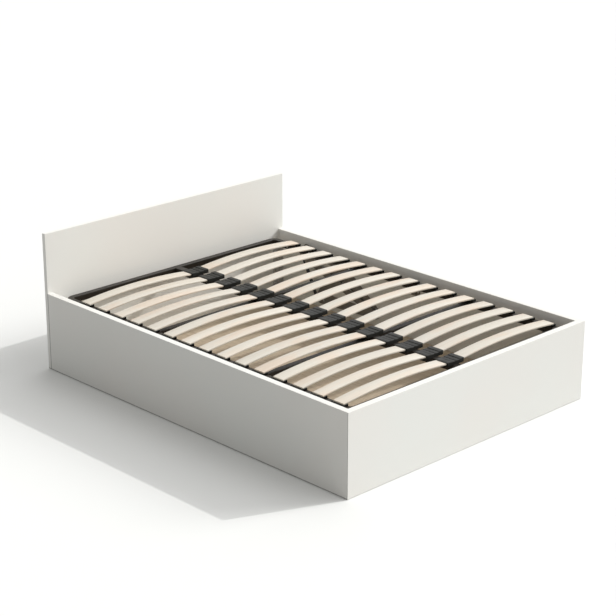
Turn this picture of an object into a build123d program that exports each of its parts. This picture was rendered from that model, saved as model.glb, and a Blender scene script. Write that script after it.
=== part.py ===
from build123d import *
import os
from math import atan2, cos, degrees, radians, sin, sqrt

# Ottoman bed: a board box with a slat frame that lifts at the foot end on two four-bar mechanisms.
# Millimetres. X runs across the bed, +Y to the headboard, +Z up. The origin is on the floor at the middle.

# Boards
bed_width = 1574.0
bed_length = 2076.0
headboard_height = 700.0
headboard_thickness = 22.0
side_height = 395.0
panel_thickness = 32.0
edge_radius = 1.0
floor_pad_height = 2.0
floor_pad_radius = 10.0
side_pad_count = 4
side_pad_inset = 150.0
end_pad_x = 390.0
joist_pad_count = 3
joist_pad_inset = 500.0

# Storage floor
batten_size = 20.0
joist_width = 45.0
floor_board_thickness = 8.0
floor_board_gap = 1.0

# Slat frame
frame_side_gap = 49.0
frame_head_gap = 20.0
frame_foot_gap = 32.0
frame_rim_depth = 33.0
tube_width = 30.0
tube_height = 30.0
tube_wall = 2.0
tube_edge_radius = 3.0
corner_radius = 45.0
beam_width = 40.0
cross_tube_width = 30.0
cross_tube_height = 20.0
cross_tube_slats = (5, 11)

# Slats and their holders
slat_count = 15
slat_width = 63.0
slat_thickness = 8.0
slat_rise = 19.0
slat_inner_end = 30.0
slat_outer_inset = 8.0
first_slat_from_head = 168.0
last_slat_from_foot = 80.0
holder_side_wall = 6.0
holder_floor = 5.7
holder_lid = 2.5
holder_rim = 2.5
centre_holder_reach = 56.0
side_holder_depth = 28.0
holder_middle_reach = 28.0
holder_middle_drop = 2.0
holder_groove_width = 3.0
holder_groove_depth = 2.5
slat_clearance = 0.3

# Lift linkage: pivots as distances from the headboard and below the underside of the slat frame
long_base_from_head = 736.0
long_base_drop = 232.0
long_top_from_head = 284.0
long_top_drop = 64.0
short_base_from_head = 468.0
short_base_drop = 35.0
short_top_from_head = 228.0
short_top_drop = -13.0
base_plate_thickness = 4.0
base_plate_margin = 34.0
plate_window_radius = 14.0
plate_window_inset = 105.0
short_arm_offset = 2.5
short_arm_thickness = 4.0
short_arm_radius = 17.0
arm_gap = 3.0
long_arm_thickness = 5.0
long_arm_radius = 18.0
rail_thickness = 4.0
rail_head_reach = 92.0
rail_foot_reach = 102.0
rail_edge_inset = 1.0
rail_ear_radius = 20.0
rail_ear_spread = 42.0

# Pins, bolts and screws
pin_radius = 5.0
base_shoulder_radius = 9.0
top_shoulder_radius = 8.0
pin_head_radius = 9.0
pin_head_height = 2.0
hinge_clearance = 0.1
face_clearance = 0.3
open_pivot_clearance = 1.2
fixed_clearance = 0.05
bolt_radius = 4.0
bolt_head_radius = 7.0
bolt_head_height = 5.0
nut_radius = 7.5
nut_height = 6.0
screw_radius = 2.9
screw_bite = 18.0
screw_head_radius = 6.0
screw_head_height = 3.0
flush_head_height = 2.0
plate_screw_spacing = 23.0

# Gas strut
strut_mount_radius = 250.0
strut_arm_angle = 4.0
strut_closed_angle = 62.0
strut_tube_radius = 9.0
strut_bore_radius = 7.5
strut_side_gap = 4.5
strut_rod_radius = 4.0
strut_gland_length = 12.0
strut_tube_end_gap = 21.0
strut_rod_start = 35.0
strut_piston_length = 8.0
strut_clearance = 0.3
strut_neck_length = 4.0
strut_neck_radius = 6.0
eye_radius = 9.0
eye_width = 14.0
stud_radius = 4.0
stud_shoulder_radius = 7.0
stud_head_height = 1.5
strut_bottom_wall = 3.0
strut_arm_lobe_radius = 14.0

# Brackets and rests
bracket_leg = 40.0
bracket_thickness = 3.0
bracket_height = 240.0
bracket_low = 60.0
bracket_screw_inset = 30.0
bracket_screw_setback = 24.0
rests_from_foot = (124.0, 974.0)
rest_width = 60.0
rest_height = 64.0
rest_reach = 75.0
rest_rib_thickness = 4.0
rest_rib_reach = 55.0
rest_screw_spacing = 36.0
rest_screw_drop = 40.0
rest_pad_thickness = 3.0
rest_pad_width = 20.0
rest_pad_length = 40.0

# Places worked out from the sizes above
outer_x = bed_width / 2
inner_x = outer_x - panel_thickness
foot_outer_y = -bed_length / 2
foot_inner_y = foot_outer_y + panel_thickness
head_outer_y = bed_length / 2
head_inner_y = head_outer_y - headboard_thickness
frame_x = inner_x - frame_side_gap
frame_head_y = head_inner_y - frame_head_gap
frame_foot_y = foot_inner_y + frame_foot_gap
frame_top = side_height - frame_rim_depth
frame_bottom = frame_top - tube_height
tube_inner_x = frame_x - tube_width

slat_outer_end = frame_x - slat_outer_inset
slat_mid_x = (slat_inner_end + slat_outer_end) / 2
slat_half = (slat_outer_end - slat_inner_end) / 2
slat_low_radius = (slat_half**2 + slat_rise**2) / (2 * slat_rise)
slat_high_radius = slat_low_radius + slat_thickness
slat_arc_z = frame_top + holder_floor + slat_rise - slat_low_radius
slat_first_y = frame_head_y - first_slat_from_head
slat_last_y = frame_foot_y + last_slat_from_foot
holder_length = slat_width + 2 * holder_side_wall
rest_places = [frame_foot_y + distance for distance in rests_from_foot]

long_base = (head_inner_y - long_base_from_head, frame_bottom - long_base_drop)
long_top = (head_inner_y - long_top_from_head, frame_bottom - long_top_drop)
short_base = (head_inner_y - short_base_from_head, frame_bottom - short_base_drop)
short_top = (head_inner_y - short_top_from_head, frame_bottom - short_top_drop)

plate_face = inner_x - base_plate_thickness
short_arm_outer = plate_face - short_arm_offset
short_arm_inner = short_arm_outer - short_arm_thickness
long_arm_outer = short_arm_inner - arm_gap
long_arm_inner = long_arm_outer - long_arm_thickness
strut_x = long_arm_inner - strut_side_gap - strut_tube_radius
rail_face = frame_x + rail_thickness


def around(pivot, radius, angle):
    """A point at a radius and an angle in degrees from +Y, about a pivot in the YZ plane."""
    return (pivot[0] + radius * cos(radians(angle)), pivot[1] + radius * sin(radians(angle)))


def spaced(start, end, count):
    """Evenly spaced places from a start to an end."""
    return [start + i * (end - start) / (count - 1) for i in range(count)]


slat_places = spaced(slat_first_y, slat_last_y, slat_count)
eye_wall_middle = (eye_radius + stud_radius) / 2
strut_top = around(short_base, strut_mount_radius, strut_arm_angle)
strut_base = around(short_base, strut_mount_radius, strut_arm_angle - strut_closed_angle)
strut_run = (strut_top[0] - strut_base[0], strut_top[1] - strut_base[1])
strut_length = sqrt(strut_run[0] ** 2 + strut_run[1] ** 2)


def block(x0, x1, y0, y1, z0, z1):
    """A box between two corners."""
    size = Box(abs(x1 - x0), abs(y1 - y0), abs(z1 - z0))
    return Pos((x0 + x1) / 2, (y0 + y1) / 2, (z0 + z1) / 2) * size


def cylinder_x(x0, x1, place, radius):
    """A cylinder along X between two planes, at a place in the YZ plane."""
    plane = Plane(origin=(min(x0, x1), place[0], place[1]), x_dir=(0, 1, 0), z_dir=(1, 0, 0))
    return plane * Cylinder(radius, abs(x1 - x0), align=(Align.CENTER, Align.CENTER, Align.MIN))


def hull_x(x0, x1, circles):
    """A flat plate along X whose outline wraps circles given as ((y, z), radius)."""
    edges = [(Pos(*place) * Circle(radius)).edge() for place, radius in circles]
    outline = Plane.YZ.offset(min(x0, x1)) * make_hull(edges)
    return extrude(outline, amount=abs(x1 - x0), dir=(1, 0, 0))


def profile_y(points, y0, y1):
    """A solid along Y with an outline of (x, z) points."""
    outline = Face(Wire.make_polygon([(x, min(y0, y1), z) for x, z in points], close=True))
    return extrude(outline, amount=abs(y1 - y0), dir=(0, 1, 0))


def turned_left(shape):
    return mirror(shape, about=Plane.YZ)


def both_sides(shapes):
    """The right-hand pieces and their left-hand twins."""
    return shapes + [turned_left(shape) for shape in shapes]


def group(shapes):
    return Compound(children=[solid for shape in shapes for solid in shape.solids()])


# Boards

def headboard():
    board = block(-outer_x, outer_x, head_inner_y, head_outer_y, floor_pad_height, headboard_height)
    board = fillet(board.edges(), edge_radius)
    holes = both_sides([screw_hole(p, (0, -1, 0)) for p in end_screw_points(head_inner_y)])
    return board - holes


def right_side_panel():
    mitre = [(inner_x, foot_inner_y), (outer_x, foot_outer_y)]
    board = plan_board(mitre + [(outer_x, head_inner_y), (inner_x, head_inner_y)], Axis.Y)
    return board - [screw_hole(p, (-1, 0, 0)) for p in side_screw_points()]


def foot_panel():
    mitre = [(outer_x, foot_outer_y), (inner_x, foot_inner_y)]
    board = plan_board(mitre + [(-inner_x, foot_inner_y), (-outer_x, foot_outer_y)], Axis.X)
    holes = both_sides([screw_hole(p, (0, 1, 0)) for p in end_screw_points(foot_inner_y)])
    return board - holes


def plan_board(corners, along):
    """A board cut to a plan outline, with its long top edges rounded."""
    outline = Face(Wire.make_polygon([(x, y, floor_pad_height) for x, y in corners], close=True))
    board = extrude(outline, amount=side_height - floor_pad_height, dir=(0, 0, 1))
    top_edges = board.faces().sort_by(Axis.Z)[-1].edges().filter_by(along)
    return fillet(top_edges, edge_radius)


def right_floor_board():
    """The right-hand storage floor board, which lies on the battens."""
    low = floor_pad_height + batten_size
    y0 = foot_inner_y + floor_board_gap
    y1 = head_inner_y - floor_board_gap
    return block(floor_board_gap / 2, inner_x - floor_board_gap, y0, y1, low, low + floor_board_thickness)


def floor_battens():
    low = floor_pad_height
    high = low + batten_size
    side_x = inner_x - batten_size
    y0 = foot_inner_y + batten_size
    y1 = head_inner_y - batten_size
    sides = both_sides([block(side_x, inner_x, foot_inner_y, head_inner_y, low, high)])
    foot_end = block(-side_x, side_x, foot_inner_y, y0, low, high)
    head_end = block(-side_x, side_x, y1, head_inner_y, low, high)
    joist = block(-joist_width / 2, joist_width / 2, y0, y1, low, high)
    return sides + [foot_end, head_end, joist]


def rubber_pads():
    """Round pads under the boards and the joist, and flat pads on the frame rests."""
    side_x = (inner_x + outer_x) / 2
    side_ys = spaced(foot_outer_y + side_pad_inset, head_outer_y - side_pad_inset, side_pad_count)
    end_ys = ((foot_outer_y + foot_inner_y) / 2, (head_outer_y + head_inner_y) / 2)
    joist_ys = spaced(foot_outer_y + joist_pad_inset, head_outer_y - joist_pad_inset, joist_pad_count)
    places = [(x, y) for x in (-side_x, side_x) for y in side_ys]
    places += [(x, y) for x in (-end_pad_x, end_pad_x) for y in end_ys]
    places += [(0, y) for y in joist_ys]
    disc = Cylinder(floor_pad_radius, floor_pad_height, align=(Align.CENTER, Align.CENTER, Align.MIN))
    low = frame_bottom - rest_pad_thickness
    x0 = tube_inner_x + (tube_width - rest_pad_width) / 2
    half = rest_pad_length / 2
    rests = [block(x0, x0 + rest_pad_width, y - half, y + half, low, frame_bottom) for y in rest_places]
    return [Pos(x, y, 0) * disc for x, y in places] + both_sides(rests)


# Brackets, rests and screws

def corner_bracket(wall_y, into):
    """Angle bracket in a right-hand corner. into is 1 at the foot panel and -1 at the headboard."""
    low = bracket_low
    high = low + bracket_height
    side_leg = block(inner_x - bracket_thickness, inner_x, wall_y, wall_y + into * bracket_leg, low, high)
    end_leg = block(inner_x - bracket_leg, inner_x, wall_y, wall_y + into * bracket_thickness, low, high)
    side_y = wall_y + into * bracket_screw_setback
    side_holes = [screw_hole((inner_x, side_y, z), (-1, 0, 0)) for z in bracket_screw_heights()]
    end_holes = [screw_hole(p, (0, into, 0)) for p in end_screw_points(wall_y)]
    return side_leg + end_leg - side_holes - end_holes


def bracket_screw_heights():
    return (bracket_low + bracket_screw_inset, bracket_low + bracket_height - bracket_screw_inset)


def end_screw_points(wall_y):
    """Screws of the right-hand corner bracket in the headboard or the foot panel."""
    return [(inner_x - bracket_screw_setback, wall_y, z) for z in bracket_screw_heights()]


def bracket_side_points():
    ys = (foot_inner_y + bracket_screw_setback, head_inner_y - bracket_screw_setback)
    return [(inner_x, y, z) for y in ys for z in bracket_screw_heights()]


def rest_screw_points():
    z = frame_bottom - rest_pad_thickness - rest_screw_drop
    return [(inner_x, y + s * rest_screw_spacing / 2, z) for y in rest_places for s in (-1, 1)]


def plate_screw_points():
    """Two flush screws beside each corner of the base plate."""
    corners = ((long_base, (200, 110)), (short_base, (100, 30)), (strut_base, (300, 210)))
    places = [around(corner, plate_screw_spacing, angle) for corner, angles in corners for angle in angles]
    return [(inner_x, y, z) for y, z in places]


def side_screw_points():
    return bracket_side_points() + rest_screw_points() + plate_screw_points()


def screw_hole(point, outward):
    """The space for one screw's shank, at a point on a board's face and as far out as it goes in."""
    return Plane(origin=point, z_dir=outward) * Cylinder(screw_radius + fixed_clearance, 2 * screw_bite)


def screw(point, outward, seat, head_height):
    """A screw whose head sits a seat's thickness off the board, at a point on the board's face."""
    shank = Pos(0, 0, (seat - screw_bite) / 2) * Cylinder(screw_radius, seat + screw_bite)
    head = Pos(0, 0, seat + head_height / 2) * Cylinder(screw_head_radius, head_height)
    return Plane(origin=point, z_dir=outward) * (shank + head)


def panel_screws():
    inward = (-1, 0, 0)
    seats = bracket_side_points() + rest_screw_points()
    screws = [screw(p, inward, bracket_thickness, screw_head_height) for p in seats]
    screws += [screw(p, inward, base_plate_thickness - flush_head_height, flush_head_height)
               for p in plate_screw_points()]
    for wall_y, outward in ((foot_inner_y, (0, 1, 0)), (head_inner_y, (0, -1, 0))):
        screws += [screw(p, outward, bracket_thickness, screw_head_height) for p in end_screw_points(wall_y)]
    return both_sides(screws)


def frame_rest(y):
    """Angled rest under the frame's side tube, on the right-hand side panel."""
    top = frame_bottom - rest_pad_thickness
    y0 = y - rest_width / 2
    y1 = y + rest_width / 2
    back = block(inner_x - bracket_thickness, inner_x, y0, y1, top - rest_height, top)
    shelf = block(inner_x - rest_reach, inner_x, y0, y1, top - bracket_thickness, top)
    rib_x = inner_x - bracket_thickness
    rib_z = top - bracket_thickness
    rib_points = [(rib_x, rib_z), (rib_x - rest_rib_reach, rib_z), (rib_x, top - rest_height)]
    rib = profile_y(rib_points, y - rest_rib_thickness / 2, y + rest_rib_thickness / 2)
    return back + shelf + rib - [screw_hole(p, (-1, 0, 0)) for p in rest_screw_points()]


# Slat frame

def tube_section(width, height):
    """The hollow section of a square tube with rounded edges."""
    outside = RectangleRounded(width, height, tube_edge_radius)
    inside = RectangleRounded(width - 2 * tube_wall, height - 2 * tube_wall, tube_edge_radius - tube_wall)
    return outside - inside


def tube_along_x(x0, x1, y, width, low, high):
    plane = Plane(origin=(x0, y, (low + high) / 2), x_dir=(0, 1, 0), z_dir=(1, 0, 0))
    return extrude(plane * tube_section(width, high - low), amount=x1 - x0, dir=(1, 0, 0))


def tube_along_y(y0, y1, x, width, low, high):
    plane = Plane(origin=(x, y0, (low + high) / 2), x_dir=(1, 0, 0), z_dir=(0, 1, 0))
    return extrude(plane * tube_section(width, high - low), amount=y1 - y0, dir=(0, 1, 0))


def frame_straight_tubes():
    """The straight sides and ends of the outer frame, welded to its corner bends."""
    bend_x = frame_x - corner_radius
    side_x = frame_x - tube_width / 2
    foot_y = frame_foot_y + corner_radius
    head_y = frame_head_y - corner_radius
    side = tube_along_y(foot_y, head_y, side_x, tube_width, frame_bottom, frame_top)
    side -= [bolt_hole(y, tube_inner_x, frame_x) for y in rail_bolt_places()]
    end_ys = (frame_foot_y + tube_width / 2, frame_head_y - tube_width / 2)
    ends = [tube_along_x(-bend_x, bend_x, y, tube_width, frame_bottom, frame_top) for y in end_ys]
    return both_sides([side]) + ends


def frame_corner_bends():
    bends = []
    section = tube_section(tube_width, tube_height)
    for y, turn in ((frame_foot_y + corner_radius, -90), (frame_head_y - corner_radius, 90)):
        start = (frame_x - tube_width / 2, y, (frame_bottom + frame_top) / 2)
        plane = Plane(origin=start, x_dir=(1, 0, 0), z_dir=(0, 1, 0))
        bends.append(revolve(plane * section, Axis((frame_x - corner_radius, y, 0), (0, 0, 1)), turn))
    return both_sides(bends)


def centre_beam():
    y0 = frame_foot_y + tube_width
    y1 = frame_head_y - tube_width
    return tube_along_y(y0, y1, 0, beam_width, frame_bottom, frame_top)


def cross_tubes():
    high = frame_bottom + cross_tube_height
    places = [slat_places[number - 1] for number in cross_tube_slats]
    ends = (beam_width / 2, tube_inner_x)
    return both_sides([tube_along_x(*ends, y, cross_tube_width, frame_bottom, high) for y in places])


# Slats and holders

def slat_surface(radius, x):
    return slat_arc_z + sqrt(radius**2 - (x - slat_mid_x) ** 2)


def right_slat(y, clearance=0.0):
    """One crowned slat. With a clearance it is the space that the slat needs in its holders."""
    x0 = slat_inner_end - clearance
    x1 = slat_outer_end + clearance
    low = slat_low_radius - clearance
    high = slat_high_radius + clearance
    y0 = y - slat_width / 2 - clearance
    corners = [(x, y0, slat_surface(r, x)) for r in (low, high) for x in (x0, x1)]
    crowns = [(slat_mid_x, y0, slat_arc_z + r) for r in (low, high)]
    edges = [
        ThreePointArc(corners[0], crowns[0], corners[1]),
        Line(corners[1], corners[3]),
        ThreePointArc(corners[3], crowns[1], corners[2]),
        Line(corners[2], corners[0]),
    ]
    return extrude(Face(Wire(edges)), amount=slat_width + 2 * clearance, dir=(0, 1, 0))


def centre_holder(y):
    """Double holder on the centre beam, with a pocket for a slat at each side."""
    y0 = y - holder_length / 2
    y1 = y + holder_length / 2
    top = slat_surface(slat_high_radius + slat_clearance, centre_holder_reach) + holder_lid
    body = block(-centre_holder_reach, centre_holder_reach, y0, y1, frame_top, top)
    middle_top = top - holder_middle_drop
    half_groove = holder_groove_width / 2
    body -= block(-holder_middle_reach, holder_middle_reach, y0, y1, middle_top, top)
    body -= block(-half_groove, half_groove, y0, y1, middle_top - holder_groove_depth, middle_top)
    return body - both_sides([right_slat(y, slat_clearance)])


def side_holder(y):
    """Tray on the side tube, with a low rim around the outer end of a slat."""
    x0 = frame_x - side_holder_depth
    inner_rim = slat_surface(slat_low_radius, x0) + holder_rim
    outer_rim = slat_surface(slat_low_radius, slat_outer_end) + holder_rim
    outline = [(x0, frame_top), (frame_x, frame_top), (frame_x, outer_rim), (x0, inner_rim)]
    body = profile_y(outline, y - holder_length / 2, y + holder_length / 2)
    return body - right_slat(y, slat_clearance)


# Lift mechanism, right-hand side

def base_plate():
    """Three-cornered plate on the side panel that carries both arm pivots and the strut."""
    corners = (long_base, short_base, strut_base)
    plate = hull_x(plate_face, inner_x, [(p, base_plate_margin) for p in corners])
    window = [(window_corner(p, corners), plate_window_radius) for p in corners]
    plate -= hull_x(plate_face, inner_x, window)
    for place, radius in ((long_base, pin_radius), (short_base, pin_radius), (strut_base, stud_radius)):
        plate -= cylinder_x(plate_face, inner_x, place, radius + fixed_clearance)
    recess_radius = screw_head_radius + fixed_clearance
    for x, y, z in plate_screw_points():
        plate -= screw_hole((x, y, z), (-1, 0, 0))
        plate -= cylinder_x(plate_face, plate_face + flush_head_height, (y, z), recess_radius)
    return plate


def window_corner(place, corners):
    """A point moved in from a corner of the base plate towards the middle of its corners."""
    middle_y = sum(y for y, _ in corners) / len(corners)
    middle_z = sum(z for _, z in corners) / len(corners)
    inward = degrees(atan2(middle_z - place[1], middle_y - place[0]))
    return around(place, plate_window_inset, inward)


def base_pin(place, arm_outer, arm_inner):
    """Pivot pin fixed in the base plate, with a shoulder behind the arm and a head before it."""
    head_x = arm_inner - face_clearance
    shaft = cylinder_x(head_x, inner_x, place, pin_radius)
    shoulder = cylinder_x(arm_outer + face_clearance, plate_face, place, base_shoulder_radius)
    head = cylinder_x(head_x - pin_head_height, head_x, place, pin_head_radius)
    return shaft + shoulder + head


def strut_stud(place, fixed_x, shoulder_x):
    """Stud that carries a strut eye, from a fixed plane towards the middle of the bed."""
    eye_outer = strut_x + eye_width / 2 + face_clearance
    eye_inner = strut_x - eye_width / 2 - face_clearance
    shaft = cylinder_x(eye_inner, fixed_x, place, stud_radius)
    shoulder = cylinder_x(eye_outer, shoulder_x, place, stud_shoulder_radius)
    head = cylinder_x(eye_inner - stud_head_height, eye_inner, place, stud_shoulder_radius)
    return shaft + shoulder + head


def base_pins():
    long_pin = base_pin(long_base, long_arm_outer, long_arm_inner)
    short_pin = base_pin(short_base, short_arm_outer, short_arm_inner)
    return both_sides([long_pin, short_pin, strut_stud(strut_base, inner_x, plate_face)])


def long_arm():
    pivots = (long_base, long_top)
    arm = hull_x(long_arm_inner, long_arm_outer, [(place, long_arm_radius) for place in pivots])
    hole_radius = pin_radius + hinge_clearance
    return arm - [cylinder_x(long_arm_inner, long_arm_outer, place, hole_radius) for place in pivots]


def short_arm():
    """Arm with a lobe for the strut. The hole at its top pivot is the wide, open one."""
    ends = [(short_base, short_arm_radius), (short_top, short_arm_radius), (strut_top, strut_arm_lobe_radius)]
    arm = hull_x(short_arm_inner, short_arm_outer, ends)
    arm -= cylinder_x(short_arm_inner, short_arm_outer, short_base, pin_radius + hinge_clearance)
    arm -= cylinder_x(short_arm_inner, short_arm_outer, short_top, pin_radius + open_pivot_clearance)
    return arm + strut_stud(strut_top, short_arm_inner, short_arm_inner)


def rail_bolt_places():
    first = short_top[0] + rail_head_reach - rail_ear_radius
    last = long_top[0] - rail_foot_reach + rail_ear_radius
    return (first, last, (long_top[0] + last) / 2)


def bolt_hole(y, x0, x1):
    return cylinder_x(x0, x1, (y, frame_top - tube_height / 2), bolt_radius + fixed_clearance)


def top_rail():
    """Plate bolted to the side tube, with an ear below the tube for the long arm."""
    y0 = long_top[0] - rail_foot_reach
    y1 = short_top[0] + rail_head_reach
    low = frame_bottom + rail_edge_inset
    high = frame_top - rail_edge_inset
    band = block(frame_x, rail_face, y0, y1, low, high)
    band_middle = (low + high) / 2
    root_radius = (high - low) / 2
    roots = [(long_top[0] + s * rail_ear_spread, band_middle) for s in (-1, 1)]
    circles = [(long_top, rail_ear_radius)] + [(place, root_radius) for place in roots]
    rail = band + hull_x(frame_x, rail_face, circles)
    pin_hole_radius = pin_radius + fixed_clearance
    rail -= [cylinder_x(frame_x, rail_face, place, pin_hole_radius) for place in (long_top, short_top)]
    return rail - [bolt_hole(y, frame_x, rail_face) for y in rail_bolt_places()]


def top_pin(place, arm_inner, arm_outer):
    """Pivot pin fixed in the top rail, with a long shoulder out to its arm."""
    end_x = arm_outer + face_clearance
    shaft = cylinder_x(frame_x, end_x, place, pin_radius)
    shoulder = cylinder_x(rail_face, arm_inner - face_clearance, place, top_shoulder_radius)
    head = cylinder_x(end_x, end_x + pin_head_height, place, pin_head_radius)
    return shaft + shoulder + head


def rail_bolt(y):
    """Bolt through the rail and the tube."""
    place = (y, frame_top - tube_height / 2)
    shaft = cylinder_x(tube_inner_x - nut_height, rail_face, place, bolt_radius)
    return shaft + cylinder_x(rail_face, rail_face + bolt_head_height, place, bolt_head_radius)


def rail_nut(y):
    start = (tube_inner_x - nut_height, y, frame_top - tube_height / 2)
    outline = RegularPolygon(nut_radius, 6) - Circle(bolt_radius + fixed_clearance)
    return Plane(origin=start, x_dir=(0, 1, 0), z_dir=(1, 0, 0)) * extrude(outline, amount=nut_height)


def rail_fasteners():
    long_pin = top_pin(long_top, long_arm_inner, long_arm_outer)
    short_pin = top_pin(short_top, short_arm_inner, short_arm_outer)
    bolts = [rail_bolt(y) for y in rail_bolt_places()]
    nuts = [rail_nut(y) for y in rail_bolt_places()]
    return both_sides([long_pin, short_pin] + bolts + nuts)


# Gas strut, right-hand side

def along_strut(start, end, radius):
    """A cylinder on the strut's line, between two distances from its base."""
    run = Cylinder(radius, end - start, align=(Align.CENTER, Align.CENTER, Align.MIN))
    return strut_plane() * (Pos(0, 0, start) * run)


def strut_plane():
    return Plane(origin=(strut_x, *strut_base), x_dir=(1, 0, 0), z_dir=(0, *strut_run))


def strut_eye(place):
    x0 = strut_x - eye_width / 2
    x1 = strut_x + eye_width / 2
    return cylinder_x(x0, x1, place, eye_radius), cylinder_x(x0, x1, place, stud_radius + hinge_clearance)


def strut_cylinder():
    eye, hole = strut_eye(strut_base)
    tube_start = eye_radius + strut_neck_length
    tube_end = strut_length - strut_tube_end_gap
    bore_start = tube_start + strut_bottom_wall
    tube = along_strut(tube_start, tube_end, strut_tube_radius)
    tube -= along_strut(bore_start, tube_end - strut_gland_length, strut_bore_radius)
    tube -= along_strut(bore_start, tube_end, strut_rod_radius + strut_clearance)
    neck = along_strut(eye_wall_middle, tube_start, strut_neck_radius)
    return tube + neck + eye - hole


def strut_rod():
    eye, hole = strut_eye(strut_top)
    rod = along_strut(strut_rod_start, strut_length - eye_wall_middle, strut_rod_radius)
    piston_end = strut_rod_start + strut_piston_length
    piston = along_strut(strut_rod_start, piston_end, strut_bore_radius - strut_clearance)
    return rod + piston + eye - hole


# Nodes

def all_nodes():
    nodes = {
        "headboard": [headboard()],
        "foot_panel": [foot_panel()],
        "floor_boards": both_sides([right_floor_board()]),
        "floor_battens": floor_battens(),
        "corner_brackets": both_sides([corner_bracket(foot_inner_y, 1), corner_bracket(head_inner_y, -1)]),
        "frame_rests": both_sides([frame_rest(y) for y in rest_places]),
        "rubber_pads": rubber_pads(),
        "panel_screws": panel_screws(),
        "base_pins": base_pins(),
        "frame_straight_tubes": frame_straight_tubes(),
        "frame_corner_bends": frame_corner_bends(),
        "centre_beam": [centre_beam()],
        "cross_tubes": cross_tubes(),
        "centre_slat_holders": [centre_holder(y) for y in slat_places],
        "side_slat_holders": both_sides([side_holder(y) for y in slat_places]),
        "rail_fasteners": rail_fasteners(),
    }
    right_pieces = {
        "side_panel": right_side_panel(),
        "base_plate": base_plate(),
        "long_arm": long_arm(),
        "short_arm": short_arm(),
        "top_rail": top_rail(),
        "strut_cylinder": strut_cylinder(),
        "strut_rod": strut_rod(),
    }
    for number, y in enumerate(slat_places, start=1):
        right_pieces[f"slat_{number:02d}"] = right_slat(y)
    for name, shape in right_pieces.items():
        nodes["right_" + name] = [shape]
        nodes["left_" + name] = [turned_left(shape)]
    return nodes


os.makedirs("parts", exist_ok=True)
for node_name, node_shapes in all_nodes().items():
    export_step(group(node_shapes), f"parts/{node_name}.step")

print("strut closed", round(strut_length, 2), "leans", round(degrees(atan2(strut_run[1], strut_run[0])), 2))
print("slat pitch", round(slat_places[0] - slat_places[1], 2), "slat radius", round(slat_low_radius, 1))
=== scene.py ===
import math

import bmesh
import bpy
from mathutils import Matrix, Vector


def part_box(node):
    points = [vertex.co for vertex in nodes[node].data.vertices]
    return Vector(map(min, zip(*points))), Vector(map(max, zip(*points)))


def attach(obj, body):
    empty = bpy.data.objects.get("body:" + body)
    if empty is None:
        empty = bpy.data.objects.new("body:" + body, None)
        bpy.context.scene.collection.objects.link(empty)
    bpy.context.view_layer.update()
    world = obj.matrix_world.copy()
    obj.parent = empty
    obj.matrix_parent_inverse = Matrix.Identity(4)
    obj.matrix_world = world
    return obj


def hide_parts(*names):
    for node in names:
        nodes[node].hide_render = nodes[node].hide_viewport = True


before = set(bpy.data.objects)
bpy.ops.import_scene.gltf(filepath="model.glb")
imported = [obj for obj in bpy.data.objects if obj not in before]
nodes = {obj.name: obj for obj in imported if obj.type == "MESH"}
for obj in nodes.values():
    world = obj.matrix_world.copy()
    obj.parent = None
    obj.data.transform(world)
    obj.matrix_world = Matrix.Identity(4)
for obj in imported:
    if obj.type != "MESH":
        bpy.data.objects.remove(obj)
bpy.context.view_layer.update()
sideNames = ("left", "right")
slatCount = 15
tiny = 1e-5
print("frame loaded with", len(nodes), "nodes")


# Node helpers

def addNode(tree, kind, inputs=None, **settings):
    node = tree.nodes.new(kind)
    for key, value in settings.items():
        setattr(node, key, value)
    for key, value in (inputs or {}).items():
        if isinstance(value, bpy.types.NodeSocket):
            tree.links.new(value, node.inputs[key])
        else:
            node.inputs[key].default_value = value
    return node


def doMath(tree, operation, first, second=0.0, clamp=False):
    node = addNode(tree, "ShaderNodeMath", {0: first, 1: second}, operation=operation, use_clamp=clamp)
    return node.outputs[0]


def mixColor(tree, factor, first, second, blend="MIX"):
    node = addNode(tree, "ShaderNodeMix", data_type="RGBA", blend_type=blend)
    for key, value in ((0, factor), (6, first), (7, second)):
        if isinstance(value, bpy.types.NodeSocket):
            tree.links.new(value, node.inputs[key])
        else:
            node.inputs[key].default_value = value
    return node.outputs[2]


def newGroup(name, inputs, outputs):
    group = bpy.data.node_groups.new(name, "ShaderNodeTree")
    for label, kind, value in inputs:
        socket = group.interface.new_socket(name=label, in_out="INPUT", socket_type=kind)
        if value is not None:
            socket.default_value = value
    for label, kind in outputs:
        group.interface.new_socket(name=label, in_out="OUTPUT", socket_type=kind)
    return group, group.nodes.new("NodeGroupInput"), group.nodes.new("NodeGroupOutput")


def useGroup(tree, group, inputs):
    node = tree.nodes.new("ShaderNodeGroup")
    node.node_tree = group
    for key, value in inputs.items():
        if isinstance(value, bpy.types.NodeSocket):
            tree.links.new(value, node.inputs[key])
        else:
            node.inputs[key].default_value = value
    return node


# Shared effects

def makeMottle():
    # slow, cloudy change between two values
    group, start, end = newGroup(
        "mottle",
        (("Vector", "NodeSocketVector", None), ("Scale", "NodeSocketFloat", 4.0),
         ("Low", "NodeSocketFloat", 0.9), ("High", "NodeSocketFloat", 1.1)),
        (("Value", "NodeSocketFloat"),))
    noise = addNode(group, "ShaderNodeTexNoise",
                    {"Vector": start.outputs["Vector"], "Scale": start.outputs["Scale"], "Detail": 3.0})
    spread = addNode(group, "ShaderNodeMapRange",
                     {"Value": noise.outputs["Fac"], "From Min": 0.3, "From Max": 0.7,
                      "To Min": start.outputs["Low"], "To Max": start.outputs["High"]})
    group.links.new(spread.outputs[0], end.inputs["Value"])
    return group


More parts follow.
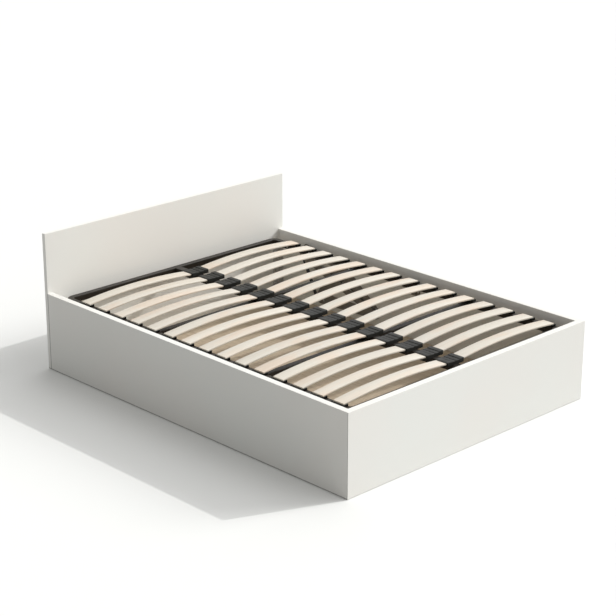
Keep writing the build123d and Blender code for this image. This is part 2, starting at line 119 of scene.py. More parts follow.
def makeStreaks():
    # wood figure that runs along one axis, set by the stretch
    group, start, end = newGroup(
        "streaks",
        (("Vector", "NodeSocketVector", None), ("Stretch", "NodeSocketVector", (1.0, 1.0, 1.0)),
         ("Detail", "NodeSocketFloat", 5.0)),
        (("Figure", "NodeSocketFloat"), ("Pores", "NodeSocketFloat")))
    stretched = addNode(group, "ShaderNodeVectorMath",
                        {0: start.outputs["Vector"], 1: start.outputs["Stretch"]}, operation="MULTIPLY")
    figure = addNode(group, "ShaderNodeTexNoise",
                     {"Vector": stretched.outputs[0], "Scale": 1.0, "Detail": start.outputs["Detail"],
                      "Roughness": 0.62, "Distortion": 0.35})
    fine = addNode(group, "ShaderNodeVectorMath", {0: stretched.outputs[0], 1: (5.0, 7.0, 7.0)},
                   operation="MULTIPLY")
    pores = addNode(group, "ShaderNodeTexNoise", {"Vector": fine.outputs[0], "Scale": 1.0, "Detail": 2.0})
    dark = addNode(group, "ShaderNodeMapRange",
                   {"Value": pores.outputs["Fac"], "From Min": 0.55, "From Max": 0.75})
    group.links.new(figure.outputs["Fac"], end.inputs["Figure"])
    group.links.new(dark.outputs[0], end.inputs["Pores"])
    return group


def makeLine():
    # a soft line where a value passes a centre
    group, start, end = newGroup(
        "line",
        (("Value", "NodeSocketFloat", 0.0), ("Centre", "NodeSocketFloat", 0.0),
         ("Half Width", "NodeSocketFloat", 0.001)),
        (("Mask", "NodeSocketFloat"),))
    offset = doMath(group, "SUBTRACT", start.outputs["Value"], start.outputs["Centre"])
    away = doMath(group, "ABSOLUTE", offset)
    share = doMath(group, "DIVIDE", away, start.outputs["Half Width"])
    mask = addNode(group, "ShaderNodeMapRange",
                   {"Value": share, "From Min": 0.5, "From Max": 1.0, "To Min": 1.0, "To Max": 0.0})
    group.links.new(mask.outputs[0], end.inputs["Mask"])
    return group


mottleGroup = makeMottle()
streakGroup = makeStreaks()
lineGroup = makeLine()
print("shader groups made")


# Materials

def startMaterial(name, look):
    material = bpy.data.materials.new(name)
    material.use_nodes = True
    tree = material.node_tree
    shader = tree.nodes["Principled BSDF"]
    shader.inputs["Base Color"].default_value = (*look["color"], 1.0)
    shader.inputs["Roughness"].default_value = look["roughness"]
    shader.inputs["Metallic"].default_value = look.get("metallic", 0.0)
    shader.inputs["Specular IOR Level"].default_value = look.get("specular", 0.5)
    place = addNode(tree, "ShaderNodeTexCoord").outputs["Object"]
    return material, tree, shader, place


def addBump(tree, shader, height, strength, distance):
    bump = addNode(tree, "ShaderNodeBump", {"Height": height, "Strength": strength, "Distance": distance})
    tree.links.new(bump.outputs["Normal"], shader.inputs["Normal"])


def spreadValue(tree, place, scale, low, high):
    spread = useGroup(tree, mottleGroup, {"Vector": place, "Scale": scale, "Low": low, "High": high})
    return spread.outputs["Value"]


def makeCoated(name, look):
    # paint, plating, plastic and rubber: one tone, cloudy gloss and a fine skin
    material, tree, shader, place = startMaterial(name, look)
    tone = spreadValue(tree, place, look["cloudScale"], 1.0 - look["cloud"], 1.0 + look["cloud"])
    color = mixColor(tree, 1.0, (*look["color"], 1.0), tone, "MULTIPLY")
    tree.links.new(color, shader.inputs["Base Color"])
    gloss = spreadValue(tree, place, look["cloudScale"] * 2.3,
                        look["roughness"] - look["glossChange"], look["roughness"] + look["glossChange"])
    tree.links.new(gloss, shader.inputs["Roughness"])
    skin = addNode(tree, "ShaderNodeTexNoise", {"Vector": place, "Scale": look["skinScale"], "Detail": 2.0})
    addBump(tree, shader, skin.outputs["Fac"], look["skin"], look.get("skinDepth", 0.0002))
    return material


# the seam and edge colours below paint shade lines: in the joint to the headboard, at the mitred foot corner
# and along the floor
boardLook = {"seamShadeColor": (0.05, 0.05, 0.045), "edgeShadeColor": (0.08, 0.08, 0.07),
             "bandColor": (0.3, 0.29, 0.27), "glossChange": 0.03, "skinDepth": 0.0001,
             "color": (0.80, 0.805, 0.765), "warmColor": (0.81, 0.79, 0.745), "roughness": 0.42,
             "seamShadeDark": 0.8, "seamShadeHalfWidth": 0.0022, "bandDark": 0.12, "mitreFrom": -1.0353,
             "floorShadeHeight": 0.0055, "edgeShadeDark": 0.6, "seamPlace": 1.016, "sideFace": 0.7865, "sideTop": 0.3945,
             "bandHeights": (0.3936, 0.6986), "bandHalfWidth": 0.0003, "skinScale": 1100.0, "skin": 0.12}


def makeWhiteBoard(look):
    material, tree, shader, place = startMaterial("whiteBoard", look)
    warm = spreadValue(tree, place, 1.6, 0.0, 1.0)
    color = mixColor(tree, warm, (*look["color"], 1.0), (*look["warmColor"], 1.0))
    parts = addNode(tree, "ShaderNodeSeparateXYZ", {0: place})
    # painted shade line in the joint between the side panels and the headboard, on the outer faces
    seam = useGroup(tree, lineGroup, {"Value": parts.outputs["Y"], "Centre": look["seamPlace"],
                                      "Half Width": look["seamShadeHalfWidth"]}).outputs["Mask"]
    outside = doMath(tree, "GREATER_THAN", doMath(tree, "ABSOLUTE", parts.outputs["X"]), look["sideFace"])
    low = doMath(tree, "LESS_THAN", parts.outputs["Z"], look["sideTop"])
    seam = doMath(tree, "MULTIPLY", doMath(tree, "MULTIPLY", seam, outside), low)
    color = mixColor(tree, doMath(tree, "MULTIPLY", seam, look["seamShadeDark"]), color, (*look["seamShadeColor"], 1.0))
    # painted shade at the mitred joint at the foot and painted contact shade along the lower edge of the side
    # panels, where they meet the floor
    mitre = doMath(tree, "LESS_THAN", parts.outputs["Y"], look["mitreFrom"])
    base = doMath(tree, "LESS_THAN", parts.outputs["Z"], look["floorShadeHeight"])
    # the edge mask joins both painted shade bands
    edge = doMath(tree, "MULTIPLY", doMath(tree, "MAXIMUM", mitre, base), outside)
    color = mixColor(tree, doMath(tree, "MULTIPLY", edge, look["edgeShadeDark"]), color, (*look["edgeShadeColor"], 1.0))
    # hairlines where the edge bands end
    for height in look["bandHeights"]:
        band = useGroup(tree, lineGroup, {"Value": parts.outputs["Z"], "Centre": height,
                                          "Half Width": look["bandHalfWidth"]})
        share = doMath(tree, "MULTIPLY", band.outputs["Mask"], look["bandDark"])
        color = mixColor(tree, share, color, (*look["bandColor"], 1.0))
    tree.links.new(color, shader.inputs["Base Color"])
    gloss = spreadValue(tree, place, 9.0, look["roughness"] - look["glossChange"],
                        look["roughness"] + look["glossChange"])
    tree.links.new(gloss, shader.inputs["Roughness"])
    skin = addNode(tree, "ShaderNodeTexNoise", {"Vector": place, "Scale": look["skinScale"], "Detail": 3.0})
    addBump(tree, shader, skin.outputs["Fac"], look["skin"], look["skinDepth"])
    return material


slatWoodLook = {"color": (0.675, 0.633, 0.55), "pinkColor": (0.69, 0.585, 0.475),
                "streakColor": (0.56, 0.46, 0.345), "roughness": 0.5, "streak": 0.34, "pores": 0.22,
                "toneChange": 0.07, "layerDark": 0.2, "layerPitch": 0.00133, "layerColor": (0.33, 0.24, 0.16),
                "firstRow": 0.828, "rowPitch": 0.123, "glossChange": 0.06, "skin": 0.25, "skinDepth": 0.0004}


def makeSlatWood(look):
    material, tree, shader, place = startMaterial("slatWood", look)
    parts = addNode(tree, "ShaderNodeSeparateXYZ", {0: place})
    # every slat has its own tone and its own figure
    fromFirst = doMath(tree, "SUBTRACT", parts.outputs["Y"], look["firstRow"])
    row = doMath(tree, "ROUND", doMath(tree, "DIVIDE", fromFirst, look["rowPitch"]))
    half = doMath(tree, "SIGN", parts.outputs["X"])
    slatKey = addNode(tree, "ShaderNodeCombineXYZ", {0: row, 1: half, 2: 0.0})
    chance = addNode(tree, "ShaderNodeTexWhiteNoise", {"Vector": slatKey.outputs[0]}, noise_dimensions="3D")
    shifted = addNode(tree, "ShaderNodeVectorMath", {0: chance.outputs["Color"], 1: (3.0, 1.0, 2.0)},
                      operation="MULTIPLY_ADD")
    tree.links.new(place, shifted.inputs[2])
    grain = useGroup(tree, streakGroup, {"Vector": shifted.outputs[0], "Stretch": (3.2, 105.0, 9.0)})
    patch = useGroup(tree, streakGroup, {"Vector": shifted.outputs[0], "Stretch": (2.4, 9.0, 2.0),
                                         "Detail": 2.0})
    pink = addNode(tree, "ShaderNodeMapRange", {"Value": patch.outputs["Figure"], "From Min": 0.47,
                                                "From Max": 0.66})
    color = mixColor(tree, pink.outputs[0], (*look["color"], 1.0), (*look["pinkColor"], 1.0))
    streak = addNode(tree, "ShaderNodeMapRange", {"Value": grain.outputs["Figure"], "From Min": 0.45,
                                                  "From Max": 0.72, "To Max": look["streak"]})
    color = mixColor(tree, streak.outputs[0], color, (*look["streakColor"], 1.0))
    color = mixColor(tree, doMath(tree, "MULTIPLY", grain.outputs["Pores"], look["pores"]), color,
                     (*look["streakColor"], 1.0))
    tone = addNode(tree, "ShaderNodeMapRange", {"Value": chance.outputs["Value"],
                                                "To Min": 1.0 - look["toneChange"],
                                                "To Max": 1.0 + 0.4 * look["toneChange"]})
    color = mixColor(tree, 1.0, color, tone.outputs[0], "MULTIPLY")
    # glue lines of the veneers on the sawn edges
    layers = addNode(tree, "ShaderNodeUVMap", uv_map="layers")
    depth = addNode(tree, "ShaderNodeSeparateXYZ", {0: layers.outputs[0]}).outputs["Y"]
    wave = doMath(tree, "SINE", doMath(tree, "MULTIPLY", depth, 2 * math.pi / look["layerPitch"]))
    glue = doMath(tree, "MULTIPLY", wave, look["layerDark"], clamp=True)
    color = mixColor(tree, glue, color, (*look["layerColor"], 1.0))
    tree.links.new(color, shader.inputs["Base Color"])
    gloss = spreadValue(tree, shifted.outputs[0], 14.0, look["roughness"] - look["glossChange"],
                        look["roughness"] + look["glossChange"])
    tree.links.new(gloss, shader.inputs["Roughness"])
    addBump(tree, shader, grain.outputs["Figure"], look["skin"], look["skinDepth"])
    return material


def makePlank(name, look):
    # plain wood or printed board with its grain along one axis
    material, tree, shader, place = startMaterial(name, look)
    grain = useGroup(tree, streakGroup, {"Vector": place, "Stretch": look["stretch"]})
    streak = addNode(tree, "ShaderNodeMapRange", {"Value": grain.outputs["Figure"], "From Min": 0.42,
                                                  "From Max": 0.7})
    color = mixColor(tree, streak.outputs[0], (*look["color"], 1.0), (*look["streakColor"], 1.0))
    color = mixColor(tree, doMath(tree, "MULTIPLY", grain.outputs["Pores"], look["pores"]), color,
                     (*look["streakColor"], 1.0))
    tree.links.new(color, shader.inputs["Base Color"])
    gloss = spreadValue(tree, place, 12.0, look["roughness"] - look["glossChange"],
                        look["roughness"] + look["glossChange"])
    tree.links.new(gloss, shader.inputs["Roughness"])
    addBump(tree, shader, grain.outputs["Figure"], look["skin"], look["skinDepth"])
    return material


floorBoardLook = {"color": (0.64, 0.525, 0.385), "streakColor": (0.53, 0.42, 0.295), "roughness": 0.5,
                  "stretch": (70.0, 1.7, 30.0), "pores": 0.3, "glossChange": 0.05, "skin": 0.15,
                  "skinDepth": 0.0003}
battenLook = {"color": (0.66, 0.50, 0.32), "streakColor": (0.50, 0.34, 0.18), "roughness": 0.6,
              "stretch": (60.0, 3.0, 60.0), "pores": 0.4, "glossChange": 0.05, "skin": 0.15,
              "skinDepth": 0.0003}
frameSteelLook = {"color": (0.020, 0.016, 0.012), "roughness": 0.36, "specular": 0.2, "cloud": 0.12,
                  "cloudScale": 18.0, "glossChange": 0.05, "skinScale": 420.0, "skin": 0.10}
mechanismLook = {"color": (0.21, 0.195, 0.172), "roughness": 0.34, "specular": 0.35, "cloud": 0.10,
                 "cloudScale": 25.0, "glossChange": 0.05, "skinScale": 500.0, "skin": 0.10}
holderLook = {"color": (0.014, 0.014, 0.012), "roughness": 0.46, "specular": 0.16, "cloud": 0.14,
              "cloudScale": 30.0, "glossChange": 0.06, "skinScale": 1500.0, "skin": 0.18, "skinDepth": 0.0001}
zincLook = {"color": (0.60, 0.61, 0.62), "roughness": 0.32, "metallic": 1.0, "cloud": 0.10,
            "cloudScale": 60.0, "glossChange": 0.08, "skinScale": 700.0, "skin": 0.08, "skinDepth": 0.0001}
strutPaintLook = {"color": (0.018, 0.018, 0.018), "roughness": 0.22, "cloud": 0.08,
                  "cloudScale": 30.0, "glossChange": 0.04, "skinScale": 600.0, "skin": 0.05,
                  "skinDepth": 0.0001}
chromeLook = {"color": (0.74, 0.74, 0.75), "roughness": 0.08, "metallic": 1.0, "cloud": 0.03,
              "cloudScale": 40.0, "glossChange": 0.03, "skinScale": 900.0, "skin": 0.02, "skinDepth": 0.0001}
rubberLook = {"color": (0.022, 0.022, 0.022), "roughness": 0.75, "specular": 0.3, "cloud": 0.15,
              "cloudScale": 60.0, "glossChange": 0.08, "skinScale": 900.0, "skin": 0.25}

whiteBoard = makeWhiteBoard(boardLook)
slatWood = makeSlatWood(slatWoodLook)
floorBoard = makePlank("storageBoard", floorBoardLook)
battenWood = makePlank("battenWood", battenLook)
frameSteel = makeCoated("frameSteel", frameSteelLook)
mechanismSteel = makeCoated("mechanismSteel", mechanismLook)
holderPlastic = makeCoated("holderPlastic", holderLook)
zincSteel = makeCoated("zincSteel", zincLook)
strutPaint = makeCoated("strutPaint", strutPaintLook)
chromeSteel = makeCoated("chromeSteel", chromeLook)
padRubber = makeCoated("padRubber", rubberLook)
print("materials made")

nodeFinish = {
    "headboard": whiteBoard, "left_side_panel": whiteBoard, "right_side_panel": whiteBoard,
    "foot_panel": whiteBoard,
    "floor_boards": floorBoard, "floor_battens": battenWood, "corner_brackets": zincSteel,
    "frame_rests": mechanismSteel, "rubber_pads": padRubber, "panel_screws": zincSteel,
    "base_pins": zincSteel,
    "frame_straight_tubes": frameSteel, "frame_corner_bends": frameSteel, "centre_beam": frameSteel,
    "cross_tubes": frameSteel, "centre_slat_holders": holderPlastic, "side_slat_holders": holderPlastic,
    "rail_fasteners": zincSteel,
}
for side in sideNames:
    for part in ("base_plate", "long_arm", "short_arm", "top_rail"):
        nodeFinish[f"{side}_{part}"] = mechanismSteel
    nodeFinish[f"{side}_strut_cylinder"] = strutPaint
    nodeFinish[f"{side}_strut_rod"] = chromeSteel
    for number in range(1, slatCount + 1):
        nodeFinish[f"{side}_slat_{number:02d}"] = slatWood
for nodeName, material in nodeFinish.items():
    if nodes[nodeName].material_slots:
        for materialSlot in nodes[nodeName].material_slots:
            materialSlot.material = material
    else:
        nodes[nodeName].data.materials.append(material)
print("frame nodes finished:", len(nodeFinish))


# Mesh helpers

def addBox(bm, low, high):
    made = bmesh.ops.create_cube(bm, size=1.0)["verts"]
    bmesh.ops.scale(bm, vec=Vector(high) - Vector(low), verts=made)
    bmesh.ops.translate(bm, vec=(Vector(high) + Vector(low)) / 2, verts=made)
    return made


def edgesOf(verts):
    return list({edge for vert in verts for edge in vert.link_edges})


def facesOf(verts):
    return list({face for vert in verts for face in vert.link_faces})


def edgesAbove(verts, height):
    return [edge for edge in edgesOf(verts) if min(vert.co.z for vert in edge.verts) > height]


def runsAlong(edge, axis):
    along = (edge.verts[1].co - edge.verts[0].co).normalized()
    return abs(along[axis]) > 0.9


def bevelEdges(bm, edges, width, segments=2):
    bmesh.ops.bevel(bm, geom=edges, offset=width, offset_type="OFFSET", affect="EDGES", segments=segments,
                    profile=0.5, material=-1, clamp_overlap=True)


def finishPiece(bm, name, material, body, replaced=(), creaseAngle=35):
    bmesh.ops.recalc_face_normals(bm, faces=bm.faces)
    mesh = bpy.data.meshes.new(name)
    bm.to_mesh(mesh)
    bm.free()
    mesh.materials.append(material)
    for polygon in mesh.polygons:
        polygon.use_smooth = True
    mesh.set_sharp_from_angle(angle=math.radians(creaseAngle))
    piece = bpy.data.objects.new(name, mesh)
    bpy.context.scene.collection.objects.link(piece)
    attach(piece, body)
    if replaced:
        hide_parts(*replaced)
    return piece


# Slats

slatShape = {"thickness": 0.008, "edgeRadius": 0.0018, "edgeSegments": 2, "cuts": 31}


def makeSlat(nodeName, pieceName):
    low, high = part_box(nodeName)
    thickness = slatShape["thickness"]
    bm = bmesh.new()
    verts = addBox(bm, (low.x, low.y, 0.0), (high.x, high.y, thickness))
    bevelEdges(bm, [edge for edge in edgesOf(verts) if runsAlong(edge, 0)], slatShape["edgeRadius"],
               slatShape["edgeSegments"])
    longEdges = [edge for edge in bm.edges if runsAlong(edge, 0)]
    bmesh.ops.subdivide_edges(bm, edges=longEdges, cuts=slatShape["cuts"], use_grid_fill=True)
    layers = bm.loops.layers.uv.new("layers")
    for face in bm.faces:
        for loop in face.loops:
            loop[layers].uv = (loop.vert.co.x, loop.vert.co.z)
    # bend to the arc of the solid slat
    middle = (low.x + high.x) / 2
    half = (high.x - low.x) / 2
    rise = high.z - low.z - thickness
    radius = (half**2 + rise**2) / (2 * rise)
    for vert in bm.verts:
        vert.co.z = low.z + rise - radius + math.sqrt((radius + vert.co.z) ** 2 - (vert.co.x - middle) ** 2)
    return finishPiece(bm, pieceName, slatWood, "slat_frame", [nodeName])


for side in sideNames:
    for number in range(1, slatCount + 1):
        makeSlat(f"{side}_slat_{number:02d}", f"{side}Slat{number:02d}")
slatCentres = [sum(corner.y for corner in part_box(f"left_slat_{number:02d}")) / 2
               for number in range(1, slatCount + 1)]
print("slats made")


# Slat holders

centreHolder = {"reach": 0.056, "halfLength": 0.0375, "sleeveFrom": 0.028, "middleDrop": 0.002,
                "grooveHalf": 0.0015, "grooveDepth": 0.0025, "cornerRadius": 0.004, "rimRadius": 0.0011,
                "mouthHalf": 0.0318, "lid": 0.0025, "mouthHeight": 0.0086, "pocketDepth": 0.0256,
                "pocketFall": 0.0028, "mouthFrame": 0.0004, "plateRadius": 0.0006, "cornersFrom": 0.05}
sideHolder = {"depth": 0.028, "halfLength": 0.0375, "wall": 0.0057, "endWall": 0.0077, "rim": 0.0025,
              "slope": 0.0022, "gap": 0.0003, "radius": 0.0008}


def cutPocket(bm, verts, facing, top):
    # sinks the slat's pocket into the face that looks along X
    look = centreHolder
    faces = [face for face in facesOf(verts) if face.normal.x * facing > 0.99]
    mouth = max(faces, key=lambda face: face.calc_area())
    bmesh.ops.inset_individual(bm, faces=[mouth], thickness=look["mouthFrame"], use_even_offset=True)
    high = top - look["lid"]
    low = high - look["mouthHeight"]
    for vert in mouth.verts:
        vert.co.y = math.copysign(look["mouthHalf"], vert.co.y)
        vert.co.z = high if vert.co.z > (low + high) / 2 else low
    inner = bmesh.ops.extrude_discrete_faces(bm, faces=[mouth])["faces"][0]
    bmesh.ops.translate(bm, vec=(-facing * look["pocketDepth"], 0, -look["pocketFall"]), verts=inner.verts)


def addSleeve(bm, facing, low, high):
    look = centreHolder
    before = set(bm.verts)
    ends = sorted((facing * look["sleeveFrom"], facing * look["reach"]))
    sleeve = addBox(bm, (ends[0], -look["halfLength"], low), (ends[1], look["halfLength"], high))
    corners = [edge for edge in edgesOf(sleeve)
               if runsAlong(edge, 2) and edge.verts[0].co.x * facing > look["cornersFrom"]]
    bevelEdges(bm, corners, look["cornerRadius"], 3)
    shell = [vert for vert in bm.verts if vert not in before]
    bevelEdges(bm, edgesAbove(shell, high - tiny), look["rimRadius"], 2)
    bm.normal_update()
    cutPocket(bm, [vert for vert in bm.verts if vert not in before], facing, high)


def addHolderMiddle(bm, low, high):
    # the lower middle with its groove
    look = centreHolder
    grooveLow = high - look["grooveDepth"]
    addBox(bm, (-look["sleeveFrom"], -look["halfLength"], low),
           (look["sleeveFrom"], look["halfLength"], grooveLow))
    for facing in (-1, 1):
        ends = sorted((facing * look["grooveHalf"], facing * look["sleeveFrom"]))
        plate = addBox(bm, (ends[0], -look["halfLength"], grooveLow), (ends[1], look["halfLength"], high))
        bevelEdges(bm, edgesAbove(plate, high - tiny), look["plateRadius"], 2)


def repeatAtSlats(bm):
    master = list(bm.verts) + list(bm.edges) + list(bm.faces)
    masterVerts = list(bm.verts)
    for centre in slatCentres[1:]:
        copied = bmesh.ops.duplicate(bm, geom=master)["geom"]
        verts = [item for item in copied if isinstance(item, bmesh.types.BMVert)]
        bmesh.ops.translate(bm, vec=(0, centre, 0), verts=verts)
    bmesh.ops.translate(bm, vec=(0, slatCentres[0], 0), verts=masterVerts)


def makeCentreHolders():
    low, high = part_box("centre_slat_holders")
    bm = bmesh.new()
    for facing in (-1, 1):
        addSleeve(bm, facing, low.z, high.z)
    addHolderMiddle(bm, low.z, high.z - centreHolder["middleDrop"])
    repeatAtSlats(bm)
    finishPiece(bm, "centreHolders", holderPlastic, "slat_frame", ["centre_slat_holders"])


def makeSideHolders():
    # trays with a low rim round the outer slat end
    look = sideHolder
    low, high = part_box("side_slat_holders")
    inner = high.x - look["depth"]
    half = look["halfLength"]
    pocket = high.x - look["endWall"]
    floorTop = high.z - look["rim"] - look["gap"]
    bm = bmesh.new()
    pieces = [((inner, -half, low.z), (high.x, half, floorTop)),
              ((pocket, -half, low.z), (high.x, half, high.z)),
              ((inner, -half, low.z), (high.x, -half + look["wall"], high.z)),
              ((inner, half - look["wall"], low.z), (high.x, half, high.z))]
    for pieceLow, pieceHigh in pieces:
        block = addBox(bm, pieceLow, pieceHigh)
        for vert in block:
            if vert.co.z > low.z + tiny:
                vert.co.z -= look["slope"] * (vert.co.x - inner) / look["depth"]
        bevelEdges(bm, edgesAbove(block, low.z + tiny), look["radius"], 2)
    bmesh.ops.mirror(bm, geom=list(bm.verts) + list(bm.edges) + list(bm.faces), axis="X", merge_dist=-1)
    repeatAtSlats(bm)
    finishPiece(bm, "sideHolders", holderPlastic, "slat_frame", ["side_slat_holders"])


makeCentreHolders()
makeSideHolders()
print("slat holders made")


# Pins, bolts and screws

fastenerShape = {"sides": 24, "shaftSides": 16, "panHead": 0.003, "flushHead": 0.002, "socketRadius": 0.0023,
                 "shankRadius": 0.0029, "headRadius": 0.006, "boltRadius": 0.004, "boltHead": 0.005,
                 "boltWasher": 0.0011, "washerRadius": 0.007, "hexRadius": 0.0064, "nutRadius": 0.007,
                 "pinRadius": 0.005, "pinHeadRadius": 0.009, "pinHead": 0.002, "topShoulder": 0.008,
                 "baseShoulder": 0.009, "studRadius": 0.004, "studShoulder": 0.007, "studHead": 0.0015,
                 "seatGap": 0.004, "boltChamfer": 0.0008, "hexChamfer": 0.0006, "thinGrip": 0.0046,
                 "thickGrip": 0.0056, "studGrip": 0.0146}
# lengths and places that tell one kind of fastener from another
fastenerKind = {"panScrewFrom": 0.023, "nutUpTo": 0.01, "boltUpTo": 0.69, "longTopPinFrom": 0.041,
                "studFrom": 0.03, "longBasePinFrom": 0.016}


def looseParts(nodeName):
    # the box of every separate solid in a frame node
    bm = bmesh.new()
    bm.from_mesh(nodes[nodeName].data)
    bmesh.ops.remove_doubles(bm, verts=bm.verts, dist=1e-6)
    waiting = set(bm.verts)
    boxes = []
    while waiting:
        reached = [waiting.pop()]
        for vert in reached:
            for edge in vert.link_edges:
                other = edge.other_vert(vert)
                if other in waiting:
                    waiting.remove(other)
                    reached.append(other)
        low = Vector([min(vert.co[axis] for vert in reached) for axis in range(3)])
        high = Vector([max(vert.co[axis] for vert in reached) for axis in range(3)])
        boxes.append((low, high))
    bm.free()
    return boxes


def ringEdges(ring):
    members = set(ring)
    return [edge for edge in edgesOf(ring) if edge.verts[0] in members and edge.verts[1] in members]


def stackRings(bm, rings, place, outward):
    # rings are (sides, radius, height) and are bridged in order, with both ends closed
    loops = []
    for sides, radius, height in rings:
        loop = bmesh.ops.create_circle(bm, cap_ends=False, radius=radius, segments=sides)["verts"]
        bmesh.ops.translate(bm, vec=(0, 0, height), verts=loop)
        loops.append(loop)
    for lower, upper in zip(loops, loops[1:]):
        bmesh.ops.bridge_loops(bm, edges=ringEdges(lower) + ringEdges(upper))
    for loop in (loops[0], loops[-1]):
        bmesh.ops.contextual_create(bm, geom=ringEdges(loop))
    turn = Vector(outward).to_track_quat("Z", "Y").to_matrix().to_4x4()
    moved = [vert for loop in loops for vert in loop]
    bmesh.ops.transform(bm, matrix=Matrix.Translation(place) @ turn, verts=moved)


def addScrew(bm, low, high):
    look = fastenerShape
    middle = (low + high) / 2
    axis = 0 if high.x - low.x > high.y - low.y else 1
    length = high[axis] - low[axis]
    outward = Vector((0, 0, 0))
    outward[axis] = -math.copysign(1, middle[axis])
    head = look["panHead"] if length > fastenerKind["panScrewFrom"] else look["flushHead"]
    place = middle.copy()
    place[axis] += outward[axis] * length / 2
    sides = look["sides"]
    radius = look["headRadius"]
    shaft = look["shaftSides"]
    rings = [(shaft, look["shankRadius"], -length), (shaft, look["shankRadius"], -head),
             (sides, radius * 0.96, -head), (sides, radius, -head * 0.8), (sides, radius * 0.97, -head * 0.4),
             (sides, radius * 0.84, -head * 0.1), (sides, radius * 0.66, 0), (6, look["socketRadius"], 0),
             (6, look["socketRadius"] * 0.92, -head * 0.6)]
    stackRings(bm, rings, place, outward)


def addBolt(bm, low, high, outward):
    look = fastenerShape
    length = high.x - low.x
    start = Vector((low.x if outward > 0 else high.x, (low.y + high.y) / 2, (low.z + high.z) / 2))
    seat = length - look["boltHead"]
    washer = seat + look["boltWasher"]
    sides = look["shaftSides"]
    rings = [(sides, look["boltRadius"] * 0.85, 0), (sides, look["boltRadius"], look["boltChamfer"]),
             (sides, look["boltRadius"], seat),
             (look["sides"], look["washerRadius"], seat), (look["sides"], look["washerRadius"], washer),
             (6, look["hexRadius"], washer), (6, look["hexRadius"], length - look["hexChamfer"]),
             (6, look["hexRadius"] * 0.88, length)]
    stackRings(bm, rings, start, (outward, 0, 0))


def addNut(bm, low, high):
    look = fastenerShape
    length = high.x - low.x
    start = Vector((low.x, (low.y + high.y) / 2, (low.z + high.z) / 2))
    radius = look["nutRadius"]
    chamfer = look["hexChamfer"]
    rings = [(6, radius * 0.9, 0), (6, radius, chamfer), (6, radius, length - chamfer),
             (6, radius * 0.9, length)]
    stackRings(bm, rings, start, (1, 0, 0))


def addPin(bm, low, high, outward, shape):
    # outward points from the fixed end to the head; shape names the radii and the shoulder's ends
    length = high.x - low.x
    start = Vector((low.x if outward > 0 else high.x, (low.y + high.y) / 2, (low.z + high.z) / 2))
    sides = fastenerShape["sides"]
    seat = length - shape["head"]
    radius = shape["headRadius"]
    rings = [(sides, shape["shaft"], 0), (sides, shape["shaft"], shape["shoulderFrom"]),
             (sides, shape["shoulder"], shape["shoulderFrom"]),
             (sides, shape["shoulder"], seat - shape["grip"]), (sides, shape["shaft"], seat - shape["grip"]),
             (sides, shape["shaft"], seat), (sides, radius, seat),
             (sides, radius, seat + shape["head"] * 0.5), (sides, radius * 0.86, seat + shape["head"] * 0.85),
             (sides, radius * 0.55, length)]
    stackRings(bm, rings, start, (outward, 0, 0))


def makePanelScrews():
    bm = bmesh.new()
    for low, high in looseParts("panel_screws"):
        addScrew(bm, low, high)
    finishPiece(bm, "panelScrews", zincSteel, "box", ["panel_screws"])


def makeRailFasteners():
    look = fastenerShape
    topPin = {"shaft": look["pinRadius"], "shoulder": look["topShoulder"], "head": look["pinHead"],
              "headRadius": look["pinHeadRadius"], "shoulderFrom": look["seatGap"]}
    bm = bmesh.new()
    for low, high in looseParts("rail_fasteners"):
        side = math.copysign(1, low.x)
        nearX = min(abs(low.x), abs(high.x))
        length = high.x - low.x
        if length < fastenerKind["nutUpTo"]:
            addNut(bm, low, high)
        elif nearX < fastenerKind["boltUpTo"]:
            addBolt(bm, low, high, side)
        else:
            grip = look["thinGrip"] if length > fastenerKind["longTopPinFrom"] else look["thickGrip"]
            addPin(bm, low, high, side, {**topPin, "grip": grip})
    finishPiece(bm, "railFasteners", zincSteel, "slat_frame", ["rail_fasteners"])


def makeBasePins():
    look = fastenerShape
    armPin = {"shaft": look["pinRadius"], "shoulder": look["baseShoulder"], "head": look["pinHead"],
              "headRadius": look["pinHeadRadius"], "shoulderFrom": look["seatGap"]}
    stud = {"shaft": look["studRadius"], "shoulder": look["studShoulder"], "head": look["studHead"],
            "headRadius": look["studShoulder"], "shoulderFrom": look["seatGap"], "grip": look["studGrip"]}
    bm = bmesh.new()
    for low, high in looseParts("base_pins"):
        inward = -math.copysign(1, low.x)
        length = high.x - low.x
        if length > fastenerKind["studFrom"]:
            addPin(bm, low, high, inward, stud)
        else:
            grip = look["thickGrip"] if length > fastenerKind["longBasePinFrom"] else look["thinGrip"]
            addPin(bm, low, high, inward, {**armPin, "grip": grip})
    finishPiece(bm, "basePins", zincSteel, "box", ["base_pins"])


makePanelScrews()
makeRailFasteners()
makeBasePins()
print("pins, bolts and screws made")


# Floor, light and camera

stageLook = {"size": 60.0, "color": (0.50, 0.50, 0.49), "cameraColor": (0.835, 0.838, 0.818)}
# every sun has a strength, the width of its disc in degrees and the direction it comes from
sunLook = {"sharpSun": (1.30, 0.6, (0.739, -0.331, 0.586)), "broadSun": (1.25, 22.0, (0.79, -0.36, 0.50)),
           "frontFill": (0.90, 60.0, (0.42, -0.60, 0.68)), "backFill": (0.74, 60.0, (0.60, 0.20, 0.77))}
worldLook = {"strength": 0.40}
cameraLook = {"place": (-5.604, -5.759, 3.271), "turn": (70.26, 0.0, -44.18), "lens": 104.505}


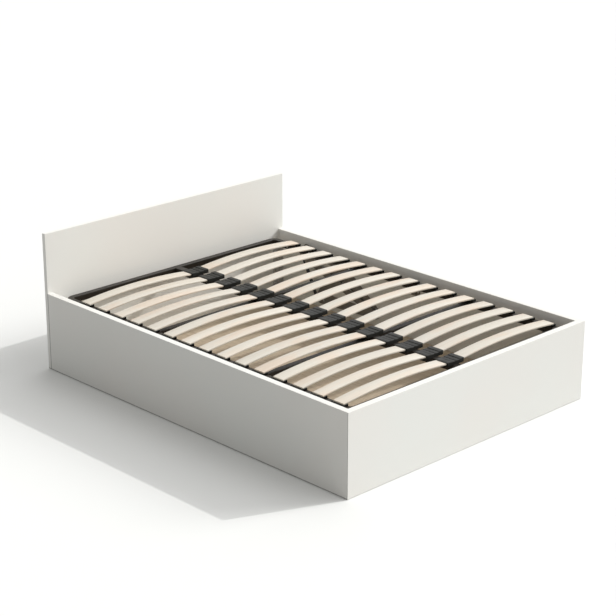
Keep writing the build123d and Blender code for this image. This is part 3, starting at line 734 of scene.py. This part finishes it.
def seenDirectly(tree):
    # 1 for what the camera sees, also through glass or in a reflection
    rays = addNode(tree, "ShaderNodeLightPath")
    through = doMath(tree, "MAXIMUM", rays.outputs["Is Glossy Ray"], rays.outputs["Is Transmission Ray"])
    return doMath(tree, "MAXIMUM", rays.outputs["Is Camera Ray"], through)


def makeStage():
    bm = bmesh.new()
    bmesh.ops.create_grid(bm, x_segments=1, y_segments=1, size=stageLook["size"] / 2)
    mesh = bpy.data.meshes.new("studioFloor")
    bm.to_mesh(mesh)
    bm.free()
    floor = bpy.data.objects.new("studioFloor", mesh)
    bpy.context.scene.collection.objects.link(floor)
    look = {"color": stageLook["color"], "roughness": 0.9, "specular": 0.1}
    material, tree, shader, _ = startMaterial("studioFloor", look)
    seen = mixColor(tree, seenDirectly(tree), (*stageLook["color"], 1.0), (*stageLook["cameraColor"], 1.0))
    tree.links.new(seen, shader.inputs["Base Color"])
    mesh.materials.append(material)


def addSun(name, strength, angle, comesFrom):
    lamp = bpy.data.lights.new(name, "SUN")
    lamp.energy = strength
    lamp.angle = math.radians(angle)
    lampObject = bpy.data.objects.new(name, lamp)
    lampObject.rotation_euler = Vector(comesFrom).to_track_quat("Z", "Y").to_euler()
    bpy.context.scene.collection.objects.link(lampObject)


def makeLights():
    world = bpy.data.worlds.new("studio")
    bpy.context.scene.world = world
    world.use_nodes = True
    tree = world.node_tree
    background = tree.nodes["Background"]
    background.inputs["Color"].default_value = (1.0, 1.0, 1.0, 1.0)
    strength = addNode(tree, "ShaderNodeMapRange", {"Value": seenDirectly(tree),
                                                    "To Min": worldLook["strength"], "To Max": 1.0})
    tree.links.new(strength.outputs[0], background.inputs["Strength"])
    for name, (power, angle, comesFrom) in sunLook.items():
        addSun(name, power, angle, comesFrom)


def makeCamera():
    camera = bpy.data.cameras.new("photoCamera")
    camera.sensor_width = 36.0
    camera.lens = cameraLook["lens"]
    camera.clip_end = 200.0
    cameraObject = bpy.data.objects.new("photoCamera", camera)
    cameraObject.location = cameraLook["place"]
    cameraObject.rotation_euler = [math.radians(angle) for angle in cameraLook["turn"]]
    bpy.context.scene.collection.objects.link(cameraObject)
    bpy.context.scene.camera = cameraObject


makeStage()
makeLights()
makeCamera()
bpy.context.scene.view_settings.view_transform = "Standard"
print("floor, light and camera made")
